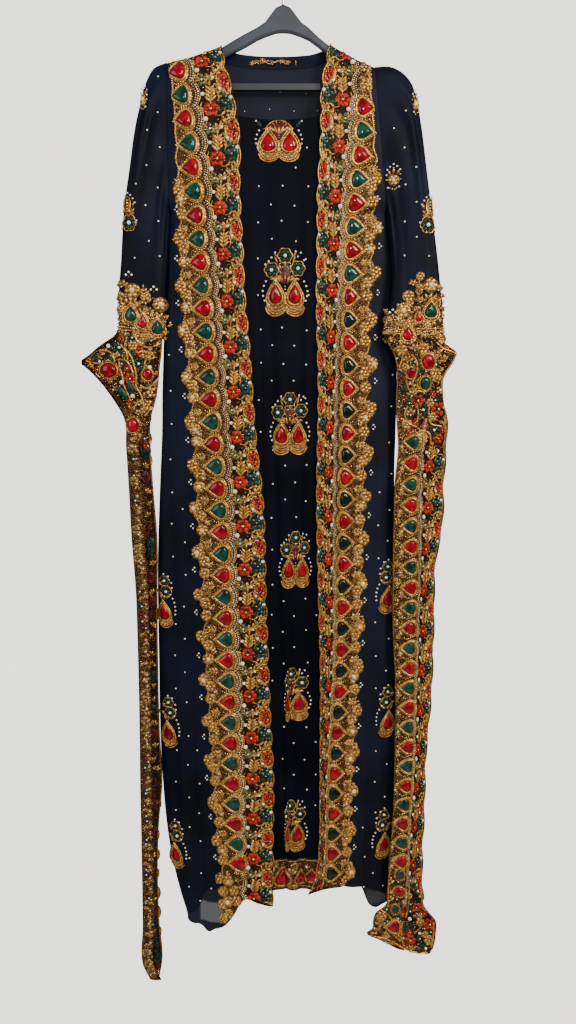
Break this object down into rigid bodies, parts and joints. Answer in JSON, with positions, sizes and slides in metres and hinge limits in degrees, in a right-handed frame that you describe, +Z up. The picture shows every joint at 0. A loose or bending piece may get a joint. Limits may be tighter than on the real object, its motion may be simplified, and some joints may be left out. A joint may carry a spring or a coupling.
{
  "type": "kaftan on a hanger",
  "caption": "Long open-front kaftan of sheer black cloth with beaded bands, gathered sleeves and hanging sleeve tails, on a contoured hanger.",
  "frame": {"origin": "the top of the hook's inside, where a rail holds the hanger", "axes": "+Z up, -Y out of the kaftan's front, +X to the viewer's right as the front is seen"},
  "size_m": [0.6315, 0.0773, 1.768],
  "materials": {
    "sheer_georgette": "sheer woven georgette, near black, matt",
    "gold_beadwork": "gold cord and bead embroidery with red and green stones",
    "charcoal_plastic": "moulded, slightly satin",
    "steel_wire": "plain bent wire"
  },
  "bodies": {
    "root": {"back_panel": "sheer_georgette", "robe_front_left": "sheer_georgette", "robe_front_right": "sheer_georgette", "inner_front": "sheer_georgette", "sleeve_left": "sheer_georgette", "sleeve_right": "sheer_georgette", "front_band_left": "gold_beadwork", "front_band_right": "gold_beadwork", "inner_hem_band": "gold_beadwork", "back_neck_trim": "gold_beadwork", "cuff_left": "gold_beadwork", "cuff_right": "gold_beadwork", "sleeve_tail_left": "gold_beadwork", "sleeve_tail_right": "gold_beadwork", "hanger_board": "charcoal_plastic", "hanger_bar": "charcoal_plastic", "hanger_hook": "steel_wire"}
  },
  "joints": []
}
